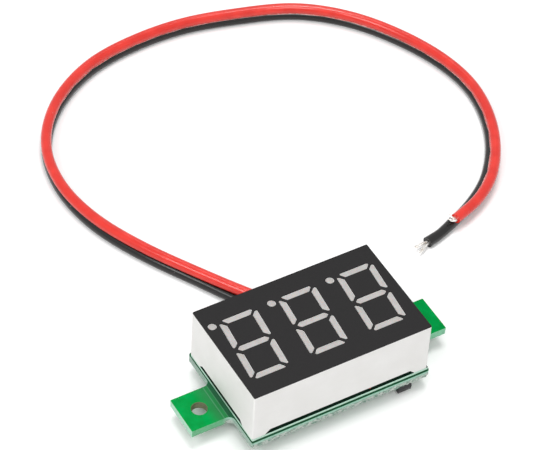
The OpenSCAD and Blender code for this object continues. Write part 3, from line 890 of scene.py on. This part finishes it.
# %% Microcontroller, regulator and diode bodies
def moulded(name, node, draft, dimples=()):
    """A package hanging under the board, with (x, y, radius) dimples in its outer face."""
    low, high = box_mm(node)
    part_z = (low.z + high.z) / 2
    bm = bmesh.new()
    shape = rectangle(low.x, low.y, high.x, high.y, 0.07)
    walls = slab(bm, shape, [(high.z, draft + 0.02), (high.z - 0.02, draft), (part_z + 0.02, 0.012),
                             (part_z + 0.015, 0), (part_z - 0.015, 0), (part_z - 0.02, 0.012),
                             (low.z + 0.04, draft), (low.z + 0.012, draft + 0.015),
                             (low.z, draft + 0.05)], caps=False)
    wells = [stack(bm, [(circle(x, y, r - less, 28), low.z + depth)
                        for depth, less in ((0, 0), (0.05, 0.015), (0.06, 0.06))])
             for x, y, r in dimples]
    fill_flat(bm, [walls[0]])
    fill_flat(bm, [walls[-1]] + [well[0] for well in wells])
    for well in wells:
        bm.faces.new(well[-1])
    return piece(name, bm, "chip_black", sharp=28, replaces=[node])


chip_low, chip_high = box_mm("microcontroller")
moulded("microcontroller_body", "microcontroller", 0.09,
        [(chip_low.x + 0.8, chip_high.y - 0.8, 0.33)])
moulded("regulator_body", "voltage_regulator", 0.07)
moulded("diode_body", "protection_diode", 0.08)

# %% [markdown]
# ## Solder at every lead
#
# Each lead stands in a small fillet of solder on its own pad. The places are read from the
# CAD solids: the vertices of each separate solid that lie at the board give its footprint,
# and a slab with a hollow flank rises from the pad to the metal.

# %% Solder fillets
FOOT_HEIGHT = 0.2


def islands(node):
    """Points of each separate solid in a CAD part, in millimetres, from left to right."""
    bm = bmesh.new()
    bm.from_mesh(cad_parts[node].data)
    bmesh.ops.remove_doubles(bm, verts=bm.verts, dist=SAME_PLACE * MM)
    seen, found = set(), []
    for start in bm.verts:
        queue, points = [start], []
        while queue:
            vert = queue.pop()
            if vert in seen:
                continue
            seen.add(vert)
            points.append(vert.co / MM)
            queue += [edge.other_vert(vert) for edge in vert.link_edges]
        if points:
            found.append(points)
    bm.free()
    return sorted(found, key=lambda group: [round(sum(p[k] for p in group) / len(group), 3)
                                            for k in (0, 1)])


def footprint(points):
    """Plan box of the points that lie at the board: x0, y0, x1, y1."""
    near = [p for p in points if p.z > BOARD_LOW - FOOT_HEIGHT]
    return (min(p.x for p in near), min(p.y for p in near),
            max(p.x for p in near), max(p.y for p in near))


LEAD_NODES = {"microcontroller_leads": (0.10, 0.13), "regulator_leads": (0.18, 0.3),
              "diode_leads": (0.16, 0.12), "trimmer_terminals": (0.16, 0.25),
              "resistor_ends": (0.15, 0.34), "capacitor_ends": (0.17, 0.6)}
lead_places = {node: [footprint(points) for points in islands(node)] for node in LEAD_NODES}
fillets = bmesh.new()
for node, (pad, rise) in LEAD_NODES.items():
    for x0, y0, x1, y1 in lead_places[node]:
        slab(fillets, rectangle(x0, y0, x1, y1, 0.05),
             [(BOARD_LOW, -pad), (BOARD_LOW - 0.025, -pad + 0.01),
              (BOARD_LOW - 0.03 - rise * 0.12, -pad * 0.55),
              (BOARD_LOW - 0.03 - rise * 0.4, -pad * 0.2), (BOARD_LOW - rise, -0.008),
              (BOARD_LOW - rise, 0.02)])
piece("solder_fillets", fillets, "solder", sharp=60)

# %% [markdown]
# ## Traces
#
# Copper traces show through the mask as faint raised lines of a lighter green, running from
# the chip's leads to the display's pins. They turn only square corners here, on levels
# chosen so that none crosses another. The small rings are plated holes that carry a signal
# through the board.

# %% Traces
def ribbon(points, width):
    """Outline of a line of constant width through plan points, with mitred corners."""
    left, right = [], []
    for i, p in enumerate(points):
        a = (p - points[i - 1]).normalized() if i else None
        b = (points[i + 1] - p).normalized() if i < len(points) - 1 else a
        a = a or b
        normal = Vector((-(a + b).y, (a + b).x)).normalized()
        reach = width / 2 / max(0.4, normal.dot(Vector((-a.y, a.x))))
        left.append(p + normal * reach)
        right.append(p - normal * reach)
    return right + left[::-1]


COPPER = 0.022
TRACE_W = 0.12
LEVEL_STEP = 0.2
LEVELS = (0, 1, 2, 3, 1, 0)
traces = bmesh.new()
chip_feet = lead_places["microcontroller_leads"]
for side in (-1, 1):
    feet = [f for f in chip_feet if f[1] * side > 0][:len(PIN_PLACES) // 2]
    for i, (level_number, (x0, y0, x1, y1)) in enumerate(zip(LEVELS, feet)):
        start = Vector(((x0 + x1) / 2, max(y0 * side, y1 * side) * side))
        pin = Vector((PIN_PLACES[i][0], side * PIN_ROW_Y))
        level = side * (3.45 + LEVEL_STEP * level_number)
        line = [start, Vector((start.x, level)), Vector((pin.x, level)), pin]
        slab(traces, ribbon(line, TRACE_W), [(BOARD_LOW, 0), (BOARD_LOW - COPPER, 0.015)])
for x, y in ((-2.9, 2.6), (-2.9, -2.6), (-6.7, 2.9), (-6.7, -2.4), (7.0, 2.3), (7.0, -2.3),
             (5.6, 1.0), (6.9, 0.0), (-11.2, 2.0), (10.9, 3.2), (-5.9, 6.4), (0.0, 6.6)):
    lathe(traces, mm(x, y, 0), [(0.02, BOARD_LOW), (0.30, BOARD_LOW), (0.27, BOARD_LOW - COPPER),
                                (0.15, BOARD_LOW - COPPER), (0.10, BOARD_LOW - 0.006),
                                (0.02, BOARD_LOW - 0.005)], 20)
piece("masked_traces", traces, "board_green", [masked_copper])

# %% [markdown]
# ## Printing
#
# The printing is a thick white ink that stands a little proud of the mask, so it is built
# as thin slabs: a frame round each larger part, a dot at pin one, a bar on the diode and
# plain signs for the two wires.

# %% Printing
INK = 0.014
FRAME_GAP = 0.34
LONGEST_CHIP = 2.2
SIGN_Y, SIGN_SIDE, SIGN_ARM, SIGN_W = -6.45, 0.95, 0.35, 0.16
prints = bmesh.new()


def printed_frame(x0, y0, x1, y1, width=0.13):
    """A printed line round a part, as a closed band."""
    outer, inner = rectangle(x0, y0, x1, y1, 0.1), inset(rectangle(x0, y0, x1, y1, 0.1), width)
    stack(prints, [(outer, BOARD_LOW), (outer, BOARD_LOW - INK), (inner, BOARD_LOW - INK),
                   (inner, BOARD_LOW)], closed=True)


def printed_line(points, width, z=BOARD_LOW):
    slab(prints, ribbon([Vector(p) for p in points], width), [(z, 0), (z - INK, 0.01)])


for node, margin in (("microcontroller", -0.25), ("trimmer_base", 0.18),
                     ("voltage_regulator", 0.15)):
    low, high = box_mm(node)
    printed_frame(low.x - margin, low.y - margin, high.x + margin, high.y + margin)
for node in ("resistor_ends", "capacitor_ends"):
    feet = lead_places[node]
    for a, b in zip(feet[0::2], feet[1::2]):
        x0, y0, x1, y1 = (min(a[0], b[0]), min(a[1], b[1]), max(a[2], b[2]), max(a[3], b[3]))
        if max(x1 - x0, y1 - y0) < LONGEST_CHIP:
            printed_frame(x0 - FRAME_GAP, y0 - FRAME_GAP, x1 + FRAME_GAP, y1 + FRAME_GAP, 0.1)
low, high = box_mm("protection_diode")
printed_line([(low.x + 0.55, low.y + 0.1), (low.x + 0.55, high.y - 0.1)], 0.32, low.z + 0.001)
slab(prints, circle(chip_low.x - 0.35, chip_high.y + 0.55, 0.16, 18),
     [(BOARD_LOW, 0), (BOARD_LOW - INK, 0.01)])
plus_x, minus_x = red_path[0].x + SIGN_SIDE, black_path[0].x - SIGN_SIDE
for x in (plus_x, minus_x):
    printed_line([(x - SIGN_ARM, SIGN_Y), (x + SIGN_ARM, SIGN_Y)], SIGN_W)
for near, far in ((-SIGN_ARM, -SIGN_W / 2), (SIGN_W / 2, SIGN_ARM)):
    printed_line([(plus_x, SIGN_Y + near), (plus_x, SIGN_Y + far)], SIGN_W)
piece("white_printing", prints, "board_green", [ink])

# %% [markdown]
# ## A drop of resin in the vent
#
# One drop of the red resin that holds the light-emitting chips has run out to the edge of
# the display's board, where it shows as a small red spot in the vent of the long side.

# %% Resin drop
display_top = box_mm("display_board")[1].z
drop = bmesh.new()
lathe(drop, mm(-4.0, 6.5, display_top), [(0.01, 0), (0.2, 0), (0.19, 0.06), (0.14, 0.12),
                                         (0.07, 0.15), (0.01, 0.155)], 20, 0.15, 3)
piece("resin_drop", drop, "led_red", sharp=60)

# %% [markdown]
# ## Bare ends of the lead
#
# Each conductor is a bundle of thin tinned strands. At the board they run on from the
# insulation, six twisted round a seventh, into a blob of solder. At the far end they have
# parted into two bunches. Each strand is a round wire with its own path and length.

# %% Strands
STRAND_R = 0.09
TWISTS = 0.6
SOLDER_Y = -6.55
BUNCH_GAP = 0.32
BUNCH_STUBS = (0.45, 0.2)
BUNCH_ROOT = 0.3
BUNCH_STRANDS = 4


def solder_place(path):
    """Where a wire's bare start meets its solder joint, straight back along the wire."""
    back = path[0] - path[1]
    d = back / back.y
    return path[0] + Vector((d.x, 1, 0)) * (SOLDER_Y - path[0].y)


def twisted_strands(bm, start, end):
    """Six strands twisted round a seventh, between two points in millimetres."""
    way = (end - start).normalized()
    side = way.cross(Vector((0, 0, 1))).normalized()
    up = side.cross(way)
    steps = 12
    for n in range(7):
        radius = 0 if n == 0 else STRAND_R * 2
        path = []
        for k in range(steps + 1):
            a = 2 * math.pi * (n / 6 + TWISTS * k / steps)
            path.append((start.lerp(end, k / steps)
                         + (side * math.cos(a) + up * math.sin(a)) * radius) * MM)
        tube(bm, path, [STRAND_R * MM] * len(path))


def split_strands(bm, path, headings, reach, rise, splay):
    """Two bunches of strands that leave a wire's end side by side and then part.

    Headings are in degrees from +X in plan, and splay is how far the strands of a bunch
    have opened at their tips, in millimetres."""
    end = path[-1]
    out = (end - path[-2]).normalized()
    left = Vector((-out.y, out.x, 0))
    for i, heading in enumerate(headings):
        root = end + left * (1 - 2 * i) * BUNCH_GAP / 2
        bend = root + out * BUNCH_STUBS[i]
        turn = math.radians(heading)
        tip = bend + Vector((math.cos(turn), math.sin(turn), rise)) * reach
        inside = root - out * BUNCH_ROOT
        line = interpolate_bezier(inside, bend, bend, tip, 13)
        side = (tip - inside).cross(Vector((0, 0, 1))).normalized()
        up = side.cross((tip - inside).normalized())
        for n in range(BUNCH_STRANDS):
            strand = []
            for k, p in enumerate(line):
                part = k / (len(line) - 1)
                a = math.radians(360 / BUNCH_STRANDS * n + 150 * part + 40 * i)
                wide = STRAND_R + splay * max(0, part - 0.55)
                strand.append((p + (side * math.cos(a) + up * math.sin(a)) * wide) * MM)
            cut = len(strand) - n % 2
            tube(bm, strand[:cut], [STRAND_R * MM] * (cut - 1) + [STRAND_R * MM * 0.7])


strand_pieces = {}
for colour, path, split in (("red", red_path, ((-35, -62), 0.7, 0.3, 0.05)),
                            ("black", black_path, ((32, 4), 1.5, 0.0, 0.07))):
    bm = bmesh.new()
    twisted_strands(bm, solder_place(path), path[0] + (path[1] - path[0]) * 0.2)
    split_strands(bm, path, *split)
    strand_pieces[colour] = piece(colour + "_strands", bm, "tinned_copper", sharp=60,
                                  replaces=[colour + "_conductor"])

# %% [markdown]
# ## Web between the wires
#
# The pair is moulded as one, with a thin web between the wires. A pale line of painted
# highlight runs in the groove on the inner side of the loop, where the pair is pressed
# together, so the web is a separate swept strip in that pale colour, which reaches further
# out on that side.

# %% Web between the wires
WEB_THICK = 0.055
WEB_OUTER = 0.22
web = bmesh.new()
rings = []
for i in range(1, len(web_route)):
    here = Vector(web_route[i][:3])
    ahead, behind = web_route[min(i + 1, len(web_route) - 1)], web_route[i - 1]
    along = (Vector(ahead[:3]) - Vector(behind[:3])).normalized()
    up = stack_axis(i)
    across = along.cross(up).normalized()
    inner, height = 0.40 + 0.03 * noise.noise(here * 0.5), WEB_THICK
    rings.append([(here + across * (inner if s > 0 else WEB_OUTER) * s + up * height * t) * MM
                  for s, t in ((-1, -0.4), (-0.6, -1), (0.6, -1), (1, -0.4), (1, 0.4),
                               (0.6, 1), (-0.6, 1), (-1, 0.4))])
rings_to_skin(web, rings)
# The strip carries the painted highlight between the wires
web_highlight_strip = piece("web_highlight_strip", web, "red_pvc", [web_highlight_finish], sharp=35)

for name, wire, path, length, on_it in (
        ("red", red_wire, red_path, red_length, [strand_pieces["red"], web_highlight_strip]),
        ("black", black_wire, black_path, black_length, [strand_pieces["black"]])):
    slot = name + "_pvc"
    dress(wire, [finishes[slot]], replaces=[name + "_lead"])
    path[0] * MM

# %% [markdown]
# ## Solder
#
# Molten solder wets a pin and its pad, and pulls itself into a hollow cone with a thin
# skirt. The two wires end in rounder blobs. Each joint is a turned profile made slightly
# uneven, so that no two are the same.

# %% Solder joints
# Radius and depth below the board; the joint also fills the plated hole above it
CONE = [(0.24, -0.83), (0.38, -0.83), (0.39, 0), (0.74, 0.005), (0.69, 0.07), (0.58, 0.2),
        (0.49, 0.38), (0.42, 0.6), (0.37, 0.85), (0.33, 1.08), (0.29, 1.24), (0.24, 1.29)]
joints = bmesh.new()
for n, (x, y) in enumerate(PIN_PLACES):
    lathe(joints, mm(x, y, 0), [(r, BOARD_LOW - depth) for r, depth in CONE], 24, 0.06, n)
piece("pin_joints", joints, "solder", sharp=50, replaces=["pin_solder_joints"])

BLOB = [(0.02, 0.69), (0.14, 0.685), (0.27, 0.64), (0.38, 0.55), (0.45, 0.42), (0.50, 0.25),
        (0.54, 0.08), (0.55, 0.01), (0.02, 0.005)]
blobs = bmesh.new()
for n, path in enumerate((red_path, black_path)):
    place = solder_place(path)
    lathe(blobs, mm(place.x, place.y, 0), [(r, BOARD_LOW - depth) for r, depth in BLOB],
          28, 0.08, n)
piece("wire_solder_blobs", blobs, "solder", sharp=50, replaces=["lead_solder_joints"])

# %% [markdown]
# ## Floor
#
# The meter lies on a plain white sheet. A floor that is white for every ray would flood
# the object with light, so it is lifted to full white for the camera and for reflections
# only, and keeps the object's shadow. It is clear from below, so that the underside can be
# looked at.

# %% Floor
FLOOR_HALF = 1.5
FLOOR_Z = -0.02


def seen(network):
    """1 for rays of the camera, reflections and glass, and 0 for rays of diffuse light."""
    return sum(network.node("ShaderNodeLightPath", {}, {}, f"Is {kind} Ray")
               for kind in ("Camera", "Glossy", "Transmission")).fade(0, 1)


mesh = bpy.data.meshes.new("floor")
mesh.from_pydata([(x * FLOOR_HALF, y * FLOOR_HALF, 0)
                  for x, y in ((-1, -1), (1, -1), (1, 1), (-1, 1))], [], [(0, 1, 2, 3)])
floor = add("floor", mesh)
floor.location = mm(0, 0, FLOOR_Z)
sheet = Finish("white_sheet", {"Roughness": 0.9, "Specular IOR Level": 0.1})
shown = seen(sheet)
behind = sheet.node("ShaderNodeNewGeometry", {}, {}, "Backfacing")
sheet.set({"Base Color": sheet.mix(shown, (0.90, 0.90, 0.90), (0.98, 0.98, 0.98)),
           "Emission Color": sheet.mix(shown, (0, 0, 0), (1, 1, 1)), "Emission Strength": 0.05,
           "Alpha": 1 - behind * shown})
mesh.materials.append(sheet.material)

# %% [markdown]
# ## World and lamps
#
# The light is a plain overcast world with a few soft lamps, all of them high, so that the
# shadow under the board stays dark and small. The world is full white where it is seen, as
# the floor is, and dimmer where it only lights the object.

# %% World and lamps
SKY = 0.38
world = bpy.data.worlds.new("sky")
bpy.context.scene.world = world
sky = Network(world, "Background")
sky.set({"Color": (1, 1, 1), "Strength": seen(sky) * (1 - SKY) + SKY})


def lamp(name, place, aim, width, depth, radiance):
    """A rectangular soft lamp that looks at a point. Radiance is its brightness as seen."""
    data = bpy.data.lights.new(name, "AREA")
    data.shape = "RECTANGLE"
    data.size, data.size_y = width, depth
    data.energy = radiance * math.pi * width * depth
    add(name, data).matrix_world = looking(place, aim)
    print(f"{name}: {data.energy:.2f} W")


lamp("overhead_lamp", Vector((-0.04, -0.06, 0.62)), mm(0, -20, 0), 0.22, 0.22, 10.2)
lamp("back_lamp", Vector((-0.16, -0.30, 0.52)), mm(0, -20, 0), 0.15, 0.15, 2.5)
lamp("side_lamp", Vector((0.42, 0.08, 0.50)), mm(0, -10, 0), 0.24, 0.30, 5.6)
lamp("front_lamp", Vector((0.16, 0.40, 0.56)), mm(0, -10, 0), 0.30, 0.26, 6.0)

# %% [markdown]
# ## Plain view settings
#
# The Standard view transform shows a colour as it was written, which a filmic one doesn't.

# %% Finish
bpy.context.scene.view_settings.view_transform = "Standard"
